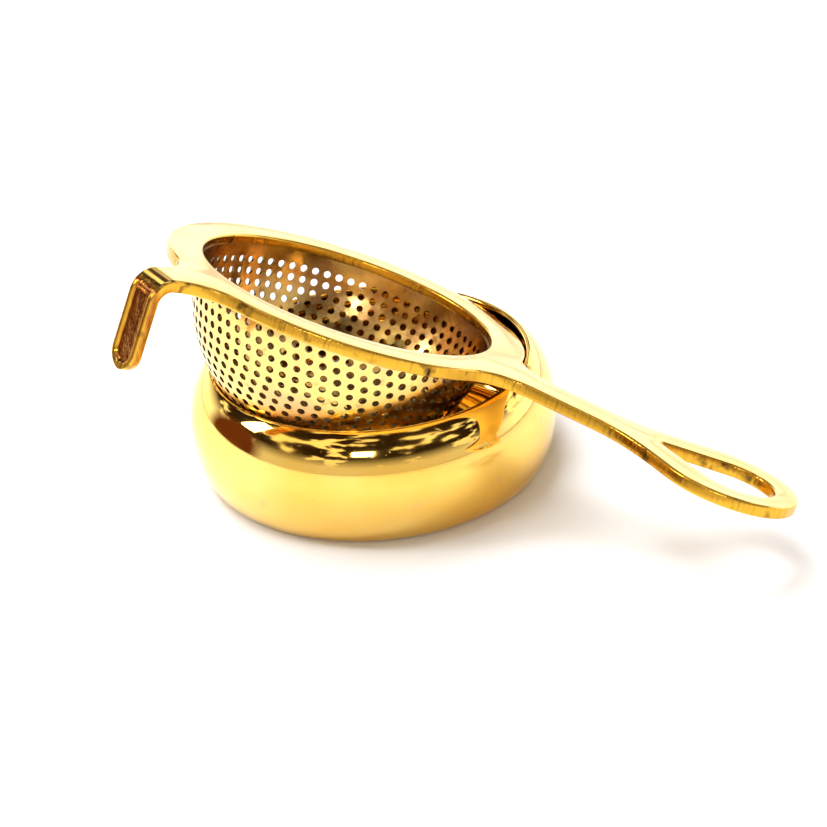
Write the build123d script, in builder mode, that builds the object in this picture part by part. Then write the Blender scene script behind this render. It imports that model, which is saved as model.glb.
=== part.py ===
# Tea strainer resting in its drip bowl, polished brass.
# Millimetres, +Z up. Origin: centre of the bowl's flat base. +X: the way the handle points.

import os
from math import acos, cos, hypot, pi, radians, sin

from build123d import *

os.makedirs("parts", exist_ok=True)

# Drip bowl: its mouth is sized to take the cup, and its belly and foot follow the mouth
bowl_height = 22.2
belly_height = 11.5
mouth_play = 1.9
lip_overhang = 4.7
base_inset = 4.5
bowl_wall = 1.2
lip_angle = 65.0

# Strainer frame: ring, handle and hook in one flat casting
frame_thickness = 2.3
ring_lap = 0.4
ring_width = 6.6

handle_root_half = 11.3
handle_length = 57.8
neck_half = 4.2
neck_flare = 7.4
neck_length = 13.0
paddle_radius = 13.0
slot_length = 22.5
slot_radius = 7.3
slot_end_wall = 4.2
slot_point_round = 0.7

hook_angle = -111.0
hook_stand_off = 11.6
hook_width = 7.0
hook_thickness = 1.9
hook_drop = 18.2
hook_inner_bend = 2.6
tab_root_half = 9.6
recess_depth = 0.5
recess_border = 1.1

# Perforated basket
basket_radius = 28.4
basket_wall = 0.6
flange_width = 1.8
flange_thickness = 0.6
seat_clearance = 0.1
hole_radius = 0.72
hole_pitch = 2.5
row_pitch = 2.25
plain_band = 3.2
plain_cap = 0.9

# How the strainer lies in the bowl
lean = (-1.44, -2.89)
handle_dip = 13.4
side_dip = 20.8
rest_gap = 0.1

# Sizes that follow from those above
ring_hole_radius = basket_radius - ring_lap
ring_radius = ring_hole_radius + ring_width
mouth_radius = basket_radius + mouth_play
belly_radius = mouth_radius + lip_overhang
base_radius = belly_radius - base_inset
neck_start = ring_radius + neck_flare
neck_end = neck_start + neck_length
handle_tip = ring_radius + handle_length
hook_reach = ring_radius + hook_stand_off
seat_height = flange_thickness - frame_thickness

frame_normal = (
    sin(radians(handle_dip)) * cos(radians(side_dip)),
    sin(radians(side_dip)),
    cos(radians(handle_dip)) * cos(radians(side_dip)),
)

shoulder_centre = (mouth_radius - belly_radius * cos(radians(lip_angle))) / (1 - cos(radians(lip_angle)))
shoulder_reach = belly_radius - shoulder_centre
shoulder_rise = (bowl_height - belly_height) / sin(radians(lip_angle))


def lip_point(inset):
    """Where the shoulder's curve ends, this far inside the outer skin."""
    return Vector(
        shoulder_centre + (shoulder_reach - inset) * cos(radians(lip_angle)),
        belly_height + (shoulder_rise - inset) * sin(radians(lip_angle)),
    )


def gap_to_lip(ring_height):
    """Least gap between the lip's round edge and the strainer, with the ring's centre this high."""
    centre = Vector(*lean, ring_height)
    axis = Vector(*frame_normal)
    cup_centre = centre + axis * seat_height
    lip_middle = lip_point(bowl_wall / 2)
    gaps = []
    for step in range(720):
        turn = pi * step / 360
        edge = Vector(lip_middle.X * cos(turn), lip_middle.X * sin(turn), lip_middle.Y)
        along = (edge - centre).dot(axis)
        across = (edge - centre - axis * along).length
        to_ring = hypot(
            max(ring_hole_radius - across, across - ring_radius, 0), max(along, -frame_thickness - along, 0)
        )
        to_cup = (edge - cup_centre).length - basket_radius
        gaps.append(min(to_ring, to_cup) - bowl_wall / 2)
    return min(gaps)


# The strainer settles until it all but touches: the lowest height that keeps the gap
rest_low = bowl_height
rest_high = bowl_height + 2 * ring_radius
while rest_high - rest_low > 0.001:
    rest_middle = (rest_low + rest_high) / 2
    if gap_to_lip(rest_middle) < rest_gap:
        rest_low = rest_middle
    else:
        rest_high = rest_middle
ring_centre = (*lean, rest_high)

handle_direction = (cos(radians(handle_dip)), 0, -sin(radians(handle_dip)))
frame_plane = Plane(origin=ring_centre, x_dir=handle_direction, z_dir=frame_normal)


def upright_plane(angle):
    """Plane through the ring's axis: local x runs outward at this angle, local y along the axis."""
    outward = frame_plane.x_dir * cos(radians(angle)) + frame_plane.y_dir * sin(radians(angle))
    return Plane(origin=frame_plane.origin, x_dir=outward, z_dir=outward.cross(frame_plane.z_dir))


# Drip bowl: a spun bowl with a flat base and a lip that curls inward
lip_across = lip_point(0) - lip_point(bowl_wall)
lip_crown = lip_point(bowl_wall / 2) + Vector(-lip_across.Y, lip_across.X) * 0.5

with BuildPart() as drip_bowl:
    with BuildSketch(Plane.XZ):
        with BuildLine():
            Line((0, 0), (base_radius, 0))
            EllipticalCenterArc(
                (base_radius, belly_height),
                belly_radius - base_radius,
                belly_height,
                start_angle=270,
                arc_size=90,
            )
            EllipticalCenterArc(
                (shoulder_centre, belly_height), shoulder_reach, shoulder_rise, arc_size=lip_angle
            )
            ThreePointArc(lip_point(0), lip_crown, lip_point(bowl_wall))
            EllipticalCenterArc(
                (shoulder_centre, belly_height),
                shoulder_reach - bowl_wall,
                shoulder_rise - bowl_wall,
                arc_size=lip_angle,
            )
            EllipticalCenterArc(
                (base_radius, belly_height),
                belly_radius - base_radius - bowl_wall,
                belly_height - bowl_wall,
                start_angle=270,
                arc_size=90,
            )
            Line((base_radius, bowl_wall), (0, bowl_wall))
            Line((0, bowl_wall), (0, 0))
        make_face()
    revolve(axis=Axis.Z)

# Strainer frame: outline first, then the hook bent down from its tab
paddle_centre = handle_tip - paddle_radius
paddle_start = 121.0
paddle_shoulder = (
    paddle_centre + paddle_radius * cos(radians(paddle_start)),
    paddle_radius * sin(radians(paddle_start)),
)
handle_root = (ring_radius**2 - handle_root_half**2) ** 0.5

slot_end = handle_tip - slot_end_wall
slot_point = slot_end - slot_length
slot_centre = slot_end - slot_radius
slot_touch = pi - acos(slot_radius / (slot_centre - slot_point))
slot_side = (slot_centre + slot_radius * cos(slot_touch), slot_radius * sin(slot_touch))

bend_outer = hook_inner_bend + hook_thickness
bend_start = hook_reach - bend_outer
tab_root = (ring_radius**2 - tab_root_half**2) ** 0.5

with BuildPart() as strainer_frame:
    with BuildSketch(frame_plane):
        Circle(ring_radius)
        with BuildSketch(mode=Mode.PRIVATE) as handle_shape:
            with BuildLine():
                Line((0, 0), (0, handle_root_half))
                Line((0, handle_root_half), (handle_root, handle_root_half))
                TangentArc((neck_start, neck_half), (handle_root, handle_root_half), tangent=(-1, 0))
                Line((neck_start, neck_half), (neck_end, neck_half))
                Spline(
                    (neck_end, neck_half),
                    paddle_shoulder,
                    tangents=[(1, 0), (sin(radians(paddle_start)), -cos(radians(paddle_start)))],
                )
                ThreePointArc(
                    paddle_shoulder,
                    (
                        paddle_centre + paddle_radius * cos(radians(paddle_start / 2)),
                        paddle_radius * sin(radians(paddle_start / 2)),
                    ),
                    (handle_tip, 0),
                )
                Line((handle_tip, 0), (0, 0))
            make_face()
            mirror(about=Plane.XZ)
        add(handle_shape.sketch)
        with BuildSketch(mode=Mode.PRIVATE) as tab_shape:
            with BuildLine():
                Line((0, 0), (0, tab_root_half))
                Line((0, tab_root_half), (tab_root, tab_root_half))
                TangentArc((bend_start, hook_width / 2), (tab_root, tab_root_half), tangent=(-1, 0))
                Line((bend_start, hook_width / 2), (bend_start, 0))
                Line((bend_start, 0), (0, 0))
            make_face()
            mirror(about=Plane.XZ)
        add(tab_shape.sketch, rotation=hook_angle)
        Circle(ring_hole_radius, mode=Mode.SUBTRACT)
        with BuildSketch(mode=Mode.PRIVATE) as slot_shape:
            with BuildLine():
                Line((slot_point, 0), slot_side)
                ThreePointArc(slot_side, (slot_end, 0), (slot_side[0], -slot_side[1]))
                Line((slot_side[0], -slot_side[1]), (slot_point, 0))
            make_face()
            fillet(slot_shape.vertices().sort_by(Axis.X)[0], slot_point_round)
        add(slot_shape.sketch, mode=Mode.SUBTRACT)
    extrude(amount=-frame_thickness)
    with BuildSketch(upright_plane(hook_angle)):
        with BuildLine():
            Line((bend_start - 1, 0), (bend_start, 0))
            CenterArc((bend_start, -bend_outer), bend_outer, 0, 90)
            Line((hook_reach, -bend_outer), (hook_reach, -hook_drop))
            Line((hook_reach, -hook_drop), (hook_reach - hook_thickness, -hook_drop))
            Line((hook_reach - hook_thickness, -hook_drop), (hook_reach - hook_thickness, -bend_outer))
            CenterArc((bend_start, -bend_outer), hook_inner_bend, 0, 90)
            Line((bend_start, -hook_thickness), (bend_start - 1, -hook_thickness))
            Line((bend_start - 1, -hook_thickness), (bend_start - 1, 0))
        make_face()
    extrude(amount=hook_width / 2, both=True)

    hook_face = upright_plane(hook_angle)
    outward = hook_face.x_dir
    recess_plane = Plane(
        origin=frame_plane.origin + outward * hook_reach, x_dir=outward.cross(frame_plane.z_dir), z_dir=outward
    )

    with BuildSketch(recess_plane.offset(-2 * hook_thickness)):
        with Locations((0, -hook_drop)):
            Rectangle(2 * hook_width, hook_width, mode=Mode.ADD)
        with Locations((0, -hook_drop + hook_width / 2)):
            Circle(hook_width / 2, mode=Mode.SUBTRACT)
    extrude(amount=3 * hook_thickness, mode=Mode.SUBTRACT)

    recess_half = hook_width / 2 - recess_border
    with BuildSketch(recess_plane):
        with Locations((0, -hook_drop + hook_width / 2)):
            Circle(recess_half)
        with Locations((0, -(bend_outer + hook_drop - hook_width / 2) / 2)):
            Rectangle(2 * recess_half, hook_drop - hook_width / 2 - bend_outer)
    extrude(amount=-recess_depth, mode=Mode.SUBTRACT)

    with BuildSketch(frame_plane.offset(-frame_thickness)):
        Circle(basket_radius + flange_width + seat_clearance)
    extrude(amount=flange_thickness, mode=Mode.SUBTRACT)

# Perforated basket: a pressed cup with a flat flange let into the ring's underside
basket_plane = frame_plane.offset(seat_height)


def hole_place(turn, drop):
    """A hole's location on the cup, square to the wall: turn round the axis, drop below the rim, in radians."""
    outward = Vector(cos(drop) * cos(turn), cos(drop) * sin(turn), -sin(drop))
    return Plane(origin=outward * basket_radius, z_dir=outward).location


hole_places = []
first_drop = plain_band / basket_radius
last_drop = pi / 2 - plain_cap / basket_radius
row_count = round((last_drop - first_drop) * basket_radius / row_pitch)
for row in range(row_count):
    drop = first_drop + (last_drop - first_drop) * row / row_count
    holes_in_row = max(6, round(2 * pi * basket_radius * cos(drop) / hole_pitch))
    for hole in range(holes_in_row):
        hole_places.append(hole_place(2 * pi * (hole + 0.5 * (row % 2)) / holes_in_row, drop))

with BuildPart(basket_plane) as strainer_basket:
    Sphere(
        basket_radius,
        arc_size1=-90,
        arc_size2=0,
        align=(Align.CENTER, Align.CENTER, Align.MAX),
    )
    Cylinder(
        basket_radius + flange_width,
        flange_thickness,
        align=(Align.CENTER, Align.CENTER, Align.MAX),
    )
    Sphere(basket_radius - basket_wall, mode=Mode.SUBTRACT)
    with Locations(hole_places):
        Cylinder(hole_radius, 4 * basket_wall, mode=Mode.SUBTRACT)

pieces = {
    "drip_bowl": drip_bowl,
    "strainer_frame": strainer_frame,
    "strainer_basket": strainer_basket,
}
for name, piece in pieces.items():
    piece.part.label = name
    export_step(piece.part, f"parts/{name}.step")
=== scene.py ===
import math

import bpy
import numpy as np
from mathutils import Matrix, Vector
from mathutils.geometry import delaunay_2d_cdt


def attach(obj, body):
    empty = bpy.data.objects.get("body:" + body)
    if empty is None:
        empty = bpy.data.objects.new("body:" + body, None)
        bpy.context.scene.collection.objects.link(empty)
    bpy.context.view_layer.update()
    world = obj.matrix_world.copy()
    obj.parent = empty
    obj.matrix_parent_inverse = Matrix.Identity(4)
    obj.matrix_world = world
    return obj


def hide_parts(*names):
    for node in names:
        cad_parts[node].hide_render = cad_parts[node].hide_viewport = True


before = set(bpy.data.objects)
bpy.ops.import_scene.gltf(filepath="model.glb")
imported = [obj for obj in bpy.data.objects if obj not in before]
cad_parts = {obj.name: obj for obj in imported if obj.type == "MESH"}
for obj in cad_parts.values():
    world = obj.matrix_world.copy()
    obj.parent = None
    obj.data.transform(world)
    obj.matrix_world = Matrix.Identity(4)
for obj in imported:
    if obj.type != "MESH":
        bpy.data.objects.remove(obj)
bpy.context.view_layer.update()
print("frame loaded:", sorted(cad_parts))

mm = 0.001

# how the strainer lies in its bowl: ring centre, and how far the handle and the far side hang down
strainerPose = {"centre": (-1.44, -2.89, 36.046), "handleDip": 13.4, "sideDip": 20.8}


def strainerAxes(pose):
    # rows: handle direction, sideways direction, face normal, all of unit length
    dip, side = math.radians(pose["handleDip"]), math.radians(pose["sideDip"])
    along = np.array([math.cos(dip), 0, -math.sin(dip)])
    normal = np.array([math.sin(dip) * math.cos(side), math.sin(side), math.cos(dip) * math.cos(side)])
    return np.array([along, np.cross(normal, along), normal])


axesOfStrainer = strainerAxes(strainerPose)


def seat(points):
    # from the strainer's own millimetres to metres in the shared frame
    return (np.asarray(strainerPose["centre"]) + points @ axesOfStrainer) * mm


def makePiece(name, points, faces, body, node, material, sharpAngle=38):
    # points are metres; faces is a list of whole arrays, each with one row of corners per face
    corners = np.concatenate([f.ravel() for f in faces]).astype(np.int32)
    counts = np.concatenate([np.full(len(f), f.shape[1]) for f in faces]).astype(np.int32)
    mesh = bpy.data.meshes.new(name)
    mesh.vertices.add(len(points))
    mesh.vertices.foreach_set("co", points.astype(np.float32).ravel())
    mesh.loops.add(len(corners))
    mesh.loops.foreach_set("vertex_index", corners)
    mesh.polygons.add(len(counts))
    mesh.polygons.foreach_set("loop_start", np.concatenate([[0], np.cumsum(counts)[:-1]]).astype(np.int32))
    mesh.update(calc_edges=True)
    mesh.validate()
    mesh.polygons.foreach_set("use_smooth", np.ones(len(mesh.polygons), bool))
    mesh.set_sharp_from_angle(angle=math.radians(sharpAngle))
    mesh.materials.append(material)
    piece = bpy.data.objects.new(name, mesh)
    bpy.context.scene.collection.objects.link(piece)
    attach(piece, body)
    if node:
        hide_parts(node)
    print("made", name, len(mesh.vertices), "points,", len(mesh.polygons), "faces")


def bandFaces(rings, count, start=0, closed=True):
    # quads between neighbouring rings of points that follow each other in the list
    ring = np.arange(rings - 1)[:, None] * count + start
    here = np.arange(count if closed else count - 1)[None, :]
    nextOne = (here + 1) % count
    corners = [ring + here, ring + nextOne, ring + nextOne + count, ring + here + count]
    return np.stack(corners, -1).reshape(-1, 4)


# ---- brass ----

class Wire:
    # one output socket; arithmetic on it adds Math nodes
    def __init__(self, tree, socket):
        self.tree, self.socket = tree, socket

    def node(self, kind, settings=None, pick=0, **inputs):
        # a node of this type, its settings first, then values or links by socket name or number
        made = self.tree.nodes.new(kind)
        for key, value in (settings or {}).items():
            setattr(made, key, value)
        for key, value in inputs.items():
            plug = made.inputs[int(key[1:])] if key[0] == "i" and key[1:].isdigit() else made.inputs[key]
            if isinstance(value, Wire):
                self.tree.links.new(value.socket, plug)
            else:
                plug.default_value = value
        return Wire(self.tree, made.outputs[pick])

    def math(self, operation, first, second=0.0):
        return self.node("ShaderNodeMath", {"operation": operation}, i0=first, i1=second)

    def __add__(self, other):
        return self.math("ADD", self, other)

    def __radd__(self, other):
        return self.math("ADD", other, self)

    def __sub__(self, other):
        return self.math("SUBTRACT", self, other)

    def __rsub__(self, other):
        return self.math("SUBTRACT", other, self)

    def __mul__(self, other):
        return self.math("MULTIPLY", self, other)

    def __rmul__(self, other):
        return self.math("MULTIPLY", other, self)

    def __truediv__(self, other):
        return self.math("DIVIDE", self, other)

    def between(self, low, high):
        # 0 below low, 1 above high, an even slope in between
        return self.node("ShaderNodeMapRange", {"clamp": True}, i0=self, i1=low, i2=high)

    def noise(self, scale, detail=3.0, roughness=0.5):
        return self.node("ShaderNodeTexNoise", {}, Vector=self, Scale=scale, Detail=detail,
                         Roughness=roughness)

    def stretch(self, sizes):
        return self.node("ShaderNodeVectorMath", {"operation": "MULTIPLY"}, i0=self, i1=sizes)

    def blend(self, first, second):
        # this value from 0 to 1 mixes two colours
        return self.node("ShaderNodeMix", {"data_type": "RGBA"}, pick=2, i0=self, i6=first, i7=second)


brass = {
    "bright": (0.96, 0.68, 0.21, 1),  # fresh polished metal
    "deep": (0.90, 0.53, 0.085, 1),  # where hands have warmed it
    "pink": (0.72, 0.40, 0.22, 1),  # thin copper tarnish
    "filed": (0.78, 0.42, 0.04, 1),  # edges that the cloth never reaches
    "brown": (0.36, 0.17, 0.055, 1),  # tea stain
    "red": (0.40, 0.12, 0.028, 1),  # tea stain, and the painted shade inside the basket
    "black": (0.05, 0.025, 0.012, 1),  # polish left in corners, and the painted shade on the walls of the basket's holes
}


def newBrass(name):
    material = bpy.data.materials.new(name)
    material.use_nodes = True
    tree = material.node_tree
    tree.nodes.clear()
    place = tree.nodes.new("ShaderNodeTexCoord")
    return material, tree, Wire(tree, place.outputs["Object"])


def finishBrass(tree, colour, roughness, height, strength, distance=0.0002):
    # metal all over; colour, roughness and bump vary; bump depth = height times distance, in metres
    normal = colour.node("ShaderNodeBump", {}, Strength=strength, Distance=distance, Height=height)
    shader = colour.node("ShaderNodeBsdfPrincipled", {}, **{
        "Base Color": colour, "Metallic": 1.0, "Roughness": roughness, "Normal": normal})
    out = tree.nodes.new("ShaderNodeOutputMaterial")
    tree.links.new(shader.socket, out.inputs["Surface"])


def scratches(place, turn, density=900.0):
    # thin lines: noise drawn out about thirty times along one direction, only its peaks kept,
    # and those only where a second, broader noise is high
    turned = place.node("ShaderNodeMapping", {}, Vector=place, Rotation=turn)
    lines = turned.stretch((0.03, 1.0, 1.0)).noise(density, 2.0, 0.5)
    patches = place.noise(60.0, 2.0)
    return lines.between(0.70, 0.74) * patches.between(0.45, 0.6)


def bowlBrass():
    # colour: bright to deep by a soft cloud, with pink tarnish in small flecks
    # roughness: 0.055 plus smears and scratches
    # bump: fine rings left by the spinning lathe, slow waves, less the scratches
    material, tree, place = newBrass("bowlBrass")
    parts = place.node("ShaderNodeSeparateXYZ", {}, Vector=place)
    node = parts.socket.node
    x, y, z = (Wire(tree, node.outputs[i]) for i in range(3))
    out = place.math("SQRT", x * x + y * y)
    rings = place.node("ShaderNodeCombineXYZ", {}, X=out, Y=z, Z=0.0).noise(2400.0, 2.0)
    cloud = place.noise(38.0, 4.0)
    flecks = place.noise(190.0, 3.0).between(0.66, 0.78)
    lines = scratches(place, (0.3, 0.2, 0.9)) + scratches(place, (1.1, 0.4, -0.5), 1400.0)
    colour = cloud.between(0.35, 0.7).blend(brass["bright"], brass["deep"])
    colour = (flecks * 0.5).blend(colour, brass["pink"])
    roughness = 0.055 + place.noise(75.0, 3.0).between(0.45, 0.8) * 0.09 + lines * 0.2
    height = rings * 0.05 + place.noise(55.0, 1.0) * 1.4 - lines * 0.25
    finishBrass(tree, colour, roughness, height, 0.22)
    return material


def frameBrass():
    # colour: bright to deep on the flat faces, filed gold and soot along the edges
    # roughness: 0.10, more on the edges, plus smears and scratches
    # bump: slow waves of hand polishing, and file marks standing square to the flat faces
    material, tree, place = newBrass("frameBrass")
    facing = place.node("ShaderNodeNewGeometry", {}, pick=1)
    flat = place.node("ShaderNodeVectorMath", {"operation": "DOT_PRODUCT"}, pick=1, i0=facing,
                      i1=tuple(axesOfStrainer[2]))
    edge = 1.0 - place.math("ABSOLUTE", flat).between(0.35, 0.8)
    along = place.node("ShaderNodeVectorMath", {"operation": "DOT_PRODUCT"}, pick=1, i0=place,
                       i1=tuple(axesOfStrainer[0]))
    across = place.node("ShaderNodeVectorMath", {"operation": "DOT_PRODUCT"}, pick=1, i0=place,
                        i1=tuple(axesOfStrainer[1]))
    marks = place.node("ShaderNodeCombineXYZ", {}, X=along, Y=across, Z=0.0).noise(1500.0, 3.0)
    cloud = place.noise(45.0, 4.0)
    lines = scratches(place, (0.1, 0.2, 0.5), 700.0) + scratches(place, (0.3, 0.1, -0.7), 1100.0)
    colour = edge.blend(cloud.between(0.3, 0.75).blend(brass["bright"], brass["deep"]), brass["filed"])
    soot = (place.noise(240.0, 3.0).between(0.60, 0.70) + marks.between(0.55, 0.70) * 0.5) * edge * 0.75
    colour = soot.blend(colour, brass["black"])
    # the hook's dished face: a band of distance along the hook's own outward direction
    hookTurn = math.radians(hook["angle"])
    hookOutward = math.cos(hookTurn) * axesOfStrainer[0] + math.sin(hookTurn) * axesOfStrainer[1]
    outward = place.node("ShaderNodeVectorMath", {"operation": "DOT_PRODUCT"}, pick=1, i0=place,
                         i1=tuple(hookOutward))
    fromCentre = (outward - float(np.dot(hookOutward, strainerPose["centre"])) * mm) * 1000.0
    dish = fromCentre.between(45.0, 45.3) * (1.0 - fromCentre.between(45.75, 46.0))
    streaks = place.stretch((1.0, 1.0, 0.25)).noise(900.0, 3.0).between(0.35, 0.65)
    colour = (dish * (0.45 + streaks * 0.5)).blend(colour, brass["red"])
    roughness = 0.10 + edge * 0.08 + place.noise(90.0, 3.0).between(0.4, 0.8) * 0.10 + lines * 0.15
    height = edge * marks * 1.6 + place.noise(70.0, 1.5) * 1.2 + dish * streaks * 0.8 - lines * 0.2
    finishBrass(tree, colour, roughness, height, 0.30)
    return material


def basketBrass():
    # colour: bright with wide pink tarnish patches and dark flecks, brown inside as painted shade with tea
    # stain, and painted shade nearly black on the walls of the holes
    # roughness: 0.15 plus cloudy patches, more where it is tarnished; bump: slow waves
    material, tree, place = newBrass("basketBrass")
    patches = place.noise(62.0, 3.0).between(0.48, 0.66)
    flecks = place.noise(420.0, 3.0).between(0.62, 0.72)
    colour = (patches * 0.6).blend(brass["bright"], brass["pink"])
    colour = (flecks * 0.45).blend(colour, brass["black"])
    # which way the surface faces, seen from the cup's centre:
    # 1 outside, -1 inside, 0 on the walls of holes
    centre = seat(np.array([0.0, 0.0, basket["seat"]]))
    spoke = place.node("ShaderNodeVectorMath", {"operation": "SUBTRACT"}, i0=place, i1=tuple(centre))
    spoke = spoke.node("ShaderNodeVectorMath", {"operation": "NORMALIZE"}, i0=spoke)
    facing = place.node("ShaderNodeNewGeometry", {}, pick=1)
    outside = spoke.node("ShaderNodeVectorMath", {"operation": "DOT_PRODUCT"}, pick=1, i0=spoke, i1=facing)
    inside = (0.0 - outside).between(0.4, 0.8)
    holeWallShade = 1.0 - place.math("ABSOLUTE", outside).between(0.35, 0.75)
    stain = place.noise(110.0, 4.0).between(0.35, 0.62)
    # painted shade: every inside face a quarter of the way to brown, with tea stain in the noise patches
    # taking it further
    colour = (inside * (0.25 + stain * 0.6)).blend(colour, brass["brown"])
    # painted shade: the walls of the holes, facing neither in nor out, go nine tenths of the way to black
    colour = (holeWallShade * 0.9).blend(colour, brass["black"])
    roughness = 0.15 + place.noise(120.0, 3.0).between(0.4, 0.8) * 0.15 + patches * 0.08
    height = place.noise(160.0, 2.0) * 1.5
    finishBrass(tree, colour, roughness, height, 0.35)
    return material


# ---- drip bowl ----

bowl = {
    "base": 30.5, "belly": 35.0, "bellyHeight": 11.5, "height": 22.2, "mouth": 30.3,
    "wall": 1.2, "lipAngle": 65.0, "around": 288, "steps": 40,
}


def bowlProfile(b):
    # radius and height, from the middle of the underside out, up over the lip, and back inside
    # both skins are quarter ellipses below the belly, and above it a piece of an ellipse up to the lip angle
    lip = math.radians(b["lipAngle"])
    middle = (b["mouth"] - b["belly"] * math.cos(lip)) / (1 - math.cos(lip))
    reach, rise = b["belly"] - middle, (b["height"] - b["bellyHeight"]) / math.sin(lip)
    low = np.linspace(-math.pi / 2, 0, b["steps"])
    high = np.linspace(0, lip, b["steps"])[1:]

    def skin(inset):
        lower = np.stack([b["base"] + (b["belly"] - b["base"] - inset) * np.cos(low),
                          b["bellyHeight"] + (b["bellyHeight"] - inset) * np.sin(low)], 1)
        upper = np.stack([middle + (reach - inset) * np.cos(high),
                          b["bellyHeight"] + (rise - inset) * np.sin(high)], 1)
        return np.concatenate([lower, upper])

    outer, inner = skin(0.0), skin(b["wall"])[::-1]
    centre, half = (outer[-1] + inner[0]) / 2, (outer[-1] - inner[0]) / 2
    turn = np.linspace(0, math.pi, 9)[1:-1, None]
    lipRound = centre + half * np.cos(turn) + np.array([-half[1], half[0]]) * np.sin(turn)
    floor = np.linspace(0.02, 1, 10)[:, None]
    under = floor[:-1] * outer[0] * np.array([1, 0])
    inside = (floor[:-1] * np.array([inner[-1][0], 0]))[::-1] + np.array([0, b["wall"]])
    return np.concatenate([under, outer, lipRound, inner, inside])


def makeBowl(material):
    profile = bowlProfile(bowl)
    turn = np.linspace(0, 2 * math.pi, bowl["around"], endpoint=False)
    ring = np.stack([np.cos(turn), np.sin(turn)], 1)
    points = np.concatenate([profile[:, None, :1] * ring[None],
                             np.repeat(profile[:, None, 1:], len(turn), 1)], 2).reshape(-1, 3)
    last = (len(profile) - 1) * bowl["around"]
    poles = np.array([[0, 0, profile[0, 1]], [0, 0, profile[-1, 1]]])
    here = np.arange(bowl["around"])
    after = (here + 1) % bowl["around"]
    underFan = np.stack([np.full_like(here, len(points)), after, here], 1)
    insideFan = np.stack([np.full_like(here, len(points) + 1), last + here, last + after], 1)
    faces = [bandFaces(len(profile), bowl["around"]), underFan, insideFan]
    makePiece("dripBowl", np.concatenate([points, poles]) * mm, faces, "bowl", "drip_bowl",
              material)


# ---- strainer frame: ring, handle and hook ----

plate = {
    "thickness": 2.3, "edgeRound": 0.45, "roundSteps": 5,
    "hole": 28.0, "ring": 34.6,
    "rootHalf": 11.3, "neckHalf": 4.2, "neckStart": 42.0, "neckEnd": 55.0,
    "paddle": 13.0, "tip": 92.4, "paddleStart": 121.0,
    "slotPoint": 65.7, "slotRadius": 7.3, "slotEndWall": 4.2, "slotPointRound": 0.7,
}

hook = {
    "angle": -111.0, "reach": 46.2, "width": 7.0, "thickness": 1.9, "drop": 18.2,
    "innerBend": 2.6, "rootHalf": 9.6, "recess": 0.55, "border": 1.1, "recessSoft": 0.35,
    "overlap": 1.2, "skin": 0.02,
}
hook["outerBend"] = hook["innerBend"] + hook["thickness"]
hook["bendStart"] = hook["reach"] - hook["outerBend"]


def arcPoints(centre, radius, start, end, count):
    turn = np.radians(np.linspace(start, end, count))
    return np.stack([centre[0] + radius * np.cos(turn), centre[1] + radius * np.sin(turn)], 1)


def flare(start, end, count):
    # a hollow arc that leaves start level with the handle's line and runs back to end
    back, up = start[0] - end[0], end[1] - start[1]
    radius = (back * back + up * up) / (2 * up)
    sweep = math.degrees(math.asin(back / radius))
    return arcPoints((start[0], start[1] + radius), radius, 270, 270 - sweep, count)


def turned(points, degrees):
    c, s = math.cos(math.radians(degrees)), math.sin(math.radians(degrees))
    return points @ np.array([[c, s], [-s, c]])


def handleHalf(p):
    # root to tip: hollow flare, straight neck, an s-curve into the paddle, the paddle's round end
    root = math.sqrt(p["ring"] ** 2 - p["rootHalf"] ** 2)
    middle = p["tip"] - p["paddle"]
    shoulder = arcPoints((middle, 0), p["paddle"], p["paddleStart"], p["paddleStart"], 1)[0]
    slope = math.radians(p["paddleStart"])
    neck = np.array([p["neckEnd"], p["neckHalf"]])
    length = np.linalg.norm(shoulder - neck)
    t = np.linspace(0, 1, 26)[1:-1, None]
    sCurve = ((2 * t**3 - 3 * t**2 + 1) * neck + (t**3 - 2 * t**2 + t) * np.array([length, 0])
              + (3 * t**2 - 2 * t**3) * shoulder
              + (t**3 - t**2) * length * np.array([math.sin(slope), -math.cos(slope)]))
    neckLine = np.linspace([p["neckStart"], p["neckHalf"]], neck, 14)[1:]
    rootFlare = flare((p["neckStart"], p["neckHalf"]), (root, p["rootHalf"]), 16)[::-1]
    roundEnd = arcPoints((middle, 0), p["paddle"], p["paddleStart"], 0, 44)
    return np.concatenate([rootFlare, neckLine, sCurve, roundEnd])


def tabHalf(p, h):
    root = math.sqrt(p["ring"] ** 2 - h["rootHalf"] ** 2)
    side = flare((h["bendStart"], h["width"] / 2), (root, h["rootHalf"]), 16)[::-1]
    return np.concatenate([side, np.array([[h["bendStart"], 0.4 * h["width"]]])])


def outerOutline(p, h):
    # once round, anticlockwise: handle, ring, tab, ring
    handle = handleHalf(p)
    handle = np.concatenate([handle * (1, -1), handle[::-1][1:]])
    tab = tabHalf(p, h)
    tab = turned(np.concatenate([tab * (1, -1), tab[::-1]]), h["angle"])
    rootTurn = math.degrees(math.asin(p["rootHalf"] / p["ring"]))
    tabTurn = math.degrees(math.asin(h["rootHalf"] / p["ring"]))
    farArc = arcPoints((0, 0), p["ring"], rootTurn, 360 + h["angle"] - tabTurn, 150)[1:-1]
    nearArc = arcPoints((0, 0), p["ring"], 360 + h["angle"] + tabTurn, 360 - rootTurn, 60)[1:-1]
    return np.concatenate([handle, farArc, tab, nearArc])


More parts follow.
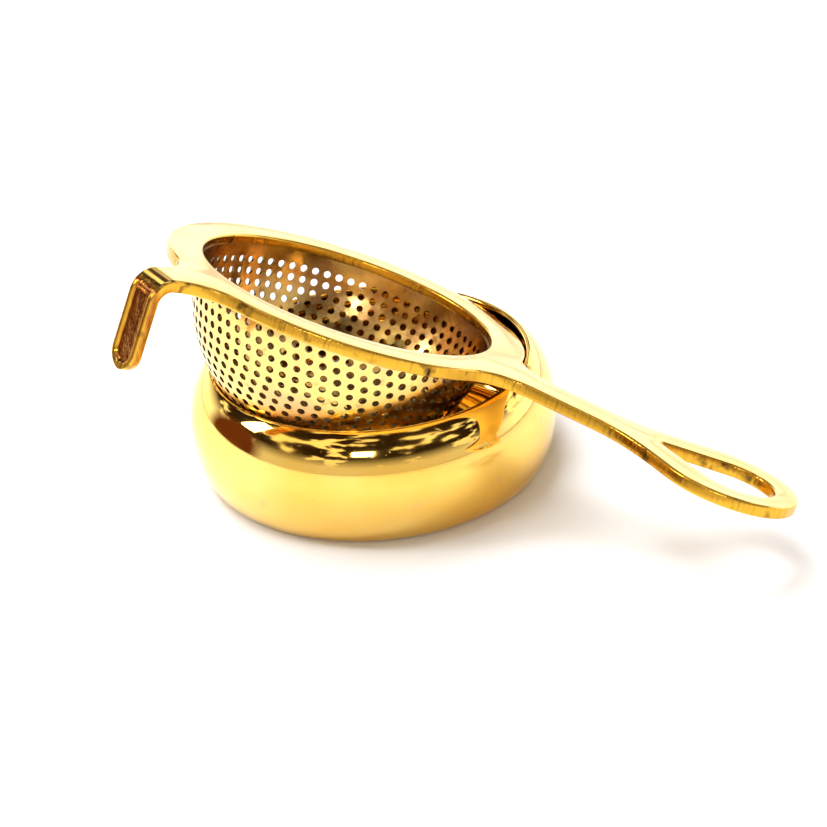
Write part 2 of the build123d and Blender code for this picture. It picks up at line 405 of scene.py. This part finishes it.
def slotOutline(p):
    # a drop shape: round at the handle's end, two straight sides to a softened point
    middle = p["tip"] - p["slotEndWall"] - p["slotRadius"]
    touch = 180 - math.degrees(math.acos(p["slotRadius"] / (middle - p["slotPoint"])))
    roundEnd = arcPoints((middle, 0), p["slotRadius"], -touch, touch, 60)
    nose = (middle - p["slotPoint"]) * p["slotPointRound"] / p["slotRadius"]
    pointRound = arcPoints((p["slotPoint"] + nose, 0), p["slotPointRound"], touch, 360 - touch, 9)
    upper = np.linspace(roundEnd[-1], pointRound[0], 22)[1:-1]
    lower = np.linspace(pointRound[-1], roundEnd[0], 22)[1:-1]
    return np.concatenate([roundEnd, upper, pointRound, lower])


def inset(loop, amount):
    # moves a closed outline to its left, along the mean of its two edge normals
    before, after = loop - np.roll(loop, 1, 0), np.roll(loop, -1, 0) - loop
    before = before / np.linalg.norm(before, axis=1)[:, None]
    after = after / np.linalg.norm(after, axis=1)[:, None]
    left = np.stack([-(before + after)[:, 1], (before + after)[:, 0]], 1)
    left /= np.linalg.norm(left, axis=1)[:, None]
    return loop + left * amount


def insideOutlines(points, loops):
    # even-odd rule against every edge of every outline at once
    a = np.concatenate(loops)
    b = np.concatenate([np.roll(loop, -1, 0) for loop in loops])
    x, y = points[:, :1], points[:, 1:]
    crosses = (a[:, 1] > y) != (b[:, 1] > y)
    rise = np.where(b[:, 1] == a[:, 1], 1.0, b[:, 1] - a[:, 1])
    return (crosses & (x < (b[:, 0] - a[:, 0]) * (y - a[:, 1]) / rise + a[:, 0])).sum(1) % 2 == 1


def fillFlat(loops):
    # triangles between closed outlines; returns corner numbers into the stacked outline points
    sizes = [len(loop) for loop in loops]
    starts = np.concatenate([[0], np.cumsum(sizes)[:-1]])
    edges = np.concatenate([np.stack([np.arange(n), (np.arange(n) + 1) % n], 1) + s
                            for n, s in zip(sizes, starts)])
    points = np.concatenate(loops)
    made = delaunay_2d_cdt([Vector(p) for p in points], edges.tolist(), [], 0, 1e-7)
    back = np.array([ids[0] if ids else -1 for ids in made[3]])
    faces = back[np.array([list(f) for f in made[2]])]
    return points, faces


def makePlate(material):
    loops = [outerOutline(plate, hook), arcPoints((0, 0), plate["hole"], 360, 0, 241)[:-1],
             slotOutline(plate)[::-1]]
    # section of every edge, from the top face over the rounded corner and down to the underside
    turn = np.linspace(0, math.pi / 2, plate["roundSteps"])
    corner = plate["edgeRound"]
    insets = np.concatenate([corner * (1 - np.sin(turn)), corner * (1 - np.cos(turn))])
    depths = np.concatenate([corner * (1 - np.cos(turn)), plate["thickness"] - corner * (1 - np.sin(turn))])
    rings = len(insets)
    points, faces, tops, bottoms, start = [], [], [], [], 0
    for loop in loops:
        count = len(loop)
        stack = [np.column_stack([inset(loop, i), np.full(count, -d)]) for i, d in zip(insets, depths)]
        points.append(np.concatenate(stack))
        faces.append(bandFaces(rings, count, start)[:, ::-1])
        tops.append(start + np.arange(count))
        bottoms.append(start + (rings - 1) * count + np.arange(count))
        start += rings * count
    points = np.concatenate(points)
    flatLoops = [points[t][:, :2] for t in tops]
    flatPoints, fill = fillFlat(flatLoops)
    fill = fill[insideOutlines(flatPoints[fill].mean(1), flatLoops)]
    corners = flatPoints[fill]
    side = np.cross(corners[:, 1] - corners[:, 0], corners[:, 2] - corners[:, 0])
    fill = np.where(side[:, None] > 0, fill, fill[:, ::-1])
    topFill, bottomFill = np.concatenate(tops)[fill], np.concatenate(bottoms)[fill][:, ::-1]
    makePiece("strainerFrame", seat(points), [np.concatenate(faces), topFill, bottomFill],
              "strainer", "strainer_frame", material)


def makeHook(material):
    # a strip carried along a path: level out of the tab, round the bend, straight down to a round tip
    h = hook
    half = h["width"] / 2
    straight = h["drop"] - h["outerBend"]
    bendLength = h["outerBend"] * math.pi / 2
    total = bendLength + straight
    s = np.concatenate([np.linspace(-h["overlap"], 0, 4)[:-1], np.linspace(0, bendLength, 30)[:-1],
                        np.linspace(bendLength, total - half, 60)[:-1],
                        total - half + half * np.sin(np.linspace(0, math.pi / 2, 22))])
    bend = np.clip(s / bendLength, 0, 1) * math.pi / 2
    pathX = h["bendStart"] + np.minimum(s, 0) + h["outerBend"] * np.sin(bend)
    pathZ = -h["outerBend"] * (1 - np.cos(bend)) - np.maximum(s - bendLength, 0)
    inwardX, inwardZ = -np.sin(bend), -np.cos(bend)
    width = np.sqrt(np.maximum(half**2 - np.maximum(s - (total - half), 0) ** 2, 0.0)) + h["skin"]
    width = np.maximum(width, 0.03)
    thinning = (plate["thickness"] - h["thickness"]) * (1 - np.clip(s / bendLength, 0, 1))
    thick = h["thickness"] + thinning + h["skin"]
    corner = np.minimum(plate["edgeRound"], width * 0.9)
    # section: outer face across, a rounded edge, inner face back, the other rounded edge
    face = np.linspace(-1, 1, 33)
    quarter = np.linspace(0, math.pi / 2, 6)[1:]
    w, t, c = width[:, None], thick[:, None], corner[:, None]
    acrossOuter = face[None] * (w - c)
    rightX = np.concatenate([w - c + c * np.sin(quarter), w - c + c * np.cos(quarter)], 1)
    rightD = np.concatenate([c * (1 - np.cos(quarter)), t - c + c * np.sin(quarter)], 1)
    acrossInner = np.linspace(1, -1, 9)[None, 1:-1] * (w - c)
    across = np.concatenate([acrossOuter, rightX, acrossInner, -rightX[:, ::-1]], 1)
    depth = np.concatenate([acrossOuter * 0, rightD, acrossInner * 0 + t, rightD[:, ::-1]], 1)
    # recess in the outer face: distance inside a round-ended border, stepped softly
    sGrid = s[:, None]
    fromTip = np.hypot(acrossOuter, np.maximum(sGrid - (total - half), 0))
    within = np.minimum(half - h["border"] - fromTip, sGrid - bendLength * 0.72)
    step = np.clip(within / h["recessSoft"], 0, 1)
    depth[:, : len(face)] += h["recess"] * step * step * (3 - 2 * step)
    depth[:, : len(face)] -= h["skin"] * 0.5
    x = pathX[:, None] + inwardX[:, None] * depth
    z = pathZ[:, None] + inwardZ[:, None] * depth
    flat = turned(np.stack([x, across], -1).reshape(-1, 2), h["angle"])
    local = np.column_stack([flat, z.ravel()])
    count, rings = across.shape[1], len(s)
    startCap = np.arange(count)[None]
    endCap = ((rings - 1) * count + np.arange(count))[None, ::-1]
    makePiece("restHook", seat(local), [bandFaces(rings, count)[:, ::-1], startCap, endCap],
              "strainer", None, material)


# ---- perforated basket ----

basket = {
    "radius": 28.4, "wall": 0.6, "flange": 1.8, "flangeThickness": 0.75, "seat": -1.7,
    "holeRadius": 0.72, "holePitch": 2.5, "rowPitch": 2.25, "plainBand": 3.2, "plainCap": 0.9,
    "holeCorners": 12, "rimCorners": 240, "sharpAngle": 45, "wear": 0.06,
}


def holeCentres(b):
    # rows of holes at even steps down the wall, every other row shifted by half a hole
    first, last = b["plainBand"] / b["radius"], math.pi / 2 - b["plainCap"] / b["radius"]
    rows = round((last - first) * b["radius"] / b["rowPitch"])
    row = np.arange(rows)
    drops = first + (last - first) * row / rows
    counts = np.maximum(6, np.round(2 * math.pi * b["radius"] * np.cos(drops) / b["holePitch"])).astype(int)
    which = np.repeat(row, counts)
    number = np.arange(counts.sum()) - np.repeat(np.cumsum(counts) - counts, counts)
    turn = 2 * math.pi * (number + 0.5 * (which % 2)) / counts[which]
    return turn, drops[which]


def makeBasket(material):
    # the wall is laid out flat as a disc (distance from the middle = arc length to the bottom),
    # holes and rim are cut there, and the disc is then wrapped on to the cup
    b = basket
    turn, drop = holeCentres(b)
    centre = (math.pi / 2 - drop)[:, None] * np.stack([np.cos(turn), np.sin(turn)], 1)
    away = np.stack([np.cos(turn), np.sin(turn)], 1)
    sideways = np.stack([-np.sin(turn), np.cos(turn)], 1)
    squeeze = (math.pi / 2 - drop) / np.maximum(np.cos(drop), 0.02)  # flat layout is wider than the cup
    corner = np.linspace(0, 2 * math.pi, b["holeCorners"], endpoint=False)
    jitter = 1 + b["wear"] * np.sin(turn * 37 + drop * 53)  # punches wear, so holes differ a little
    reach = (b["holeRadius"] / b["radius"] * jitter)[:, None, None]
    holes = (centre[:, None] + reach * (np.cos(corner)[None, :, None] * away[:, None]
             + np.sin(corner)[None, :, None] * sideways[:, None] * squeeze[:, None, None]))
    rimCount = b["rimCorners"]
    rimTurn = np.linspace(0, 2 * math.pi, rimCount, endpoint=False)
    rim = math.pi / 2 * np.stack([np.cos(rimTurn), np.sin(rimTurn)], 1)
    bandDrops = np.linspace(0.02, (b["plainBand"] - 1.3) / b["radius"], 3)
    extra = np.concatenate([rim * (1 - 2 * d / math.pi) for d in bandDrops] + [np.zeros((1, 2))])
    k = b["holeCorners"]
    holeStart = np.arange(len(turn))[:, None] * k + np.arange(k)
    holeNext = np.arange(len(turn))[:, None] * k + (np.arange(k) + 1) % k
    rimStart = len(turn) * k + np.arange(rimCount)
    rimNext = len(turn) * k + (np.arange(rimCount) + 1) % rimCount
    edges = np.concatenate([np.stack([holeStart.ravel(), holeNext.ravel()], 1),
                            np.stack([rimStart, rimNext], 1)])
    flat = np.concatenate([holes.reshape(-1, 2), rim, extra])
    made = delaunay_2d_cdt([Vector(p) for p in flat], edges.tolist(), [], 0, 1e-9)
    back = np.array([ids[0] if ids else -1 for ids in made[3]])
    tri = back[np.array([list(f) for f in made[2]])]
    owner = np.where(tri < len(turn) * k, tri // k, -1 - tri)
    tri = tri[~((owner[:, 0] == owner[:, 1]) & (owner[:, 1] == owner[:, 2]))]
    area = np.cross(flat[tri[:, 1]] - flat[tri[:, 0]], flat[tri[:, 2]] - flat[tri[:, 0]])
    tri = np.where(area[:, None] > 0, tri, tri[:, ::-1])
    # edges used once are the rims of holes and the top edge
    pairs = np.concatenate([tri[:, [0, 1]], tri[:, [1, 2]], tri[:, [2, 0]]])
    ordered = np.sort(pairs, 1)
    _, firstUse, uses = np.unique(ordered, axis=0, return_index=True, return_counts=True)
    border = pairs[firstUse[uses == 1]]
    fromMiddle = np.linalg.norm(flat, axis=1)
    angle = np.arctan2(flat[:, 1], flat[:, 0])

    def wrap(inward):
        u = math.pi / 2 - fromMiddle
        r, d = (b["radius"] - inward) * np.cos(u), (b["radius"] - inward) * np.sin(u)
        return np.stack([r * np.cos(angle), r * np.sin(angle), b["seat"] - d], 1)

    points = np.concatenate([wrap(0.0), wrap(b["wall"])])
    n = len(flat)
    walls = np.stack([border[:, 0], border[:, 1], border[:, 1] + n, border[:, 0] + n], 1)
    # the flange is a flat ring with its own rounded section
    inner, outer = b["radius"] - b["wall"] * 0.9, b["radius"] + b["flange"]
    top, low = b["seat"], b["seat"] - b["flangeThickness"]
    section = np.array([[inner, top], [outer, top], [outer, low + 0.2], [outer - 0.2, low],
                        [inner + 0.1, low]])
    circle = np.stack([np.cos(rimTurn), np.sin(rimTurn)], 1)
    ring = np.concatenate([section[:, None, :1] * circle[None],
                           np.repeat(section[:, None, 1:], rimCount, 1)], 2).reshape(-1, 3)
    flangeFaces = bandFaces(len(section) + 1, rimCount, 2 * n)
    flangeFaces = np.where(flangeFaces >= 2 * n + len(ring), flangeFaces - len(ring), flangeFaces)
    allPoints = np.concatenate([points, ring])
    makePiece("strainerBasket", seat(allPoints), [tri[:, ::-1], tri + n, walls, flangeFaces[:, ::-1]],
              "strainer", "strainer_basket", material, b["sharpAngle"])


makeBowl(bowlBrass())
metalOfFrame = frameBrass()
makePlate(metalOfFrame)
makeHook(metalOfFrame)
makeBasket(basketBrass())

# ---- table, light and camera ----

studio = {
    "table": (0.80, 0.81, 0.845, 1), "tableSize": 6.0,
    "roomDark": (0.030, 0.017, 0.010, 1), "roomLight": (1.6, 1.45, 1.2, 1),
    "nearBand": (0.9, 0.86, 0.82, 1), "farBand": (1.95, 1.9, 1.85, 1), "warmPatch": (0.16, 0.045, 0.012, 1),
    "azimuth": 36.05, "elevation": 29.42, "distance": 0.4259,
    "pan": 1.025, "tilt": -1.037, "roll": 4.547, "lens": 95.77,
}


def makeTable():
    half = studio["tableSize"] / 2
    corners = np.array([[-half, -half, 0], [half, -half, 0], [half, half, 0], [-half, half, 0]])
    mesh = bpy.data.meshes.new("table")
    mesh.from_pydata((corners - [0, 0, 0.00005]).tolist(), [], [[0, 1, 2, 3]])
    material = bpy.data.materials.new("tableTop")
    material.use_nodes = True
    material.node_tree.nodes["Principled BSDF"].inputs["Base Color"].default_value = studio["table"]
    material.node_tree.nodes["Principled BSDF"].inputs["Roughness"].default_value = 0.6
    mesh.materials.append(material)
    table = bpy.data.objects.new("table", mesh)
    bpy.context.scene.collection.objects.link(table)


def makeSky():
    # a bright band low on the far side, a dim room overhead with uneven window light,
    # and a warm dark patch at the left
    world = bpy.data.worlds.new("studioSky")
    bpy.context.scene.world = world
    world.use_nodes = True
    tree = world.node_tree
    tree.nodes.clear()
    coord = tree.nodes.new("ShaderNodeTexCoord")
    ray = Wire(tree, coord.outputs["Generated"])

    def towards(direction):
        return ray.node("ShaderNodeVectorMath", {"operation": "DOT_PRODUCT"}, pick=1, i0=ray,
                        i1=tuple(Vector(direction).normalized()))

    height = towards((0, 0, 1))
    overhead = height.between(0.16, 0.40)
    windows = ray.stretch((1.0, 1.0, 1.6)).noise(3.4, 3.0, 0.5).between(0.54, 0.575)
    room = windows.blend(studio["roomDark"], studio["roomLight"])
    farSide = towards((-0.38, 0.92, 0.04)).between(-0.1, 0.5)
    low = farSide.blend(studio["nearBand"], studio["farBand"])
    colour = overhead.blend(low, room)
    patch = towards((-0.876, -0.475, 0.10)).between(0.90, 0.96)
    colour = patch.blend(colour, studio["warmPatch"])
    glow = ray.node("ShaderNodeBackground", {}, Color=colour, Strength=1.0)
    out = tree.nodes.new("ShaderNodeOutputWorld")
    tree.links.new(glow.socket, out.inputs["Surface"])


def makeLamp(name, place, aim, size, power, mirrored=True):
    light = bpy.data.lights.new(name, "AREA")
    light.shape, light.size, light.size_y = "RECTANGLE", size[0], size[1]
    light.energy = power
    lamp = bpy.data.objects.new(name, light)
    bpy.context.scene.collection.objects.link(lamp)
    lamp.location = place
    lamp.rotation_euler = (Vector(aim) - Vector(place)).to_track_quat("-Z", "Y").to_euler()
    lamp.visible_camera = False
    lamp.visible_glossy = mirrored


def makeCamera():
    # back, right and up come from azimuth and elevation; pan, tilt and roll then nudge the aim
    a, e = math.radians(studio["azimuth"]), math.radians(studio["elevation"])
    back = Vector((math.sin(a) * math.cos(e), -math.cos(a) * math.cos(e), math.sin(e)))
    right = Vector((math.cos(a), math.sin(a), 0))
    base = Matrix((right, back.cross(right), back))
    pan, tilt, roll = (math.radians(studio[key]) for key in ("pan", "tilt", "roll"))
    aim = Matrix.Rotation(roll, 3, "Z") @ Matrix.Rotation(tilt, 3, "X") @ Matrix.Rotation(pan, 3, "Y") @ base
    camera = bpy.data.objects.new("camera", bpy.data.cameras.new("camera"))
    camera.data.lens = studio["lens"]
    camera.data.clip_start, camera.data.clip_end = 0.01, 50
    camera.matrix_world = Matrix.Translation(back * studio["distance"]) @ aim.transposed().to_4x4()
    bpy.context.scene.collection.objects.link(camera)
    bpy.context.scene.camera = camera


makeTable()
makeSky()
makeLamp("softTop", (-0.35, -0.05, 1.0), (0, 0, 0), (0.8, 0.8), 19.0, mirrored=False)
makeLamp("windowLeft", (-0.8, -0.5, 0.75), (0, 0, 0), (0.25, 0.4), 4.0)
makeLamp("windowFront", (0.55, -1.1, 0.75), (0, 0, 0), (0.3, 0.2), 3.0)
makeCamera()
bpy.context.scene.view_settings.view_transform = "Standard"
print("studio ready")
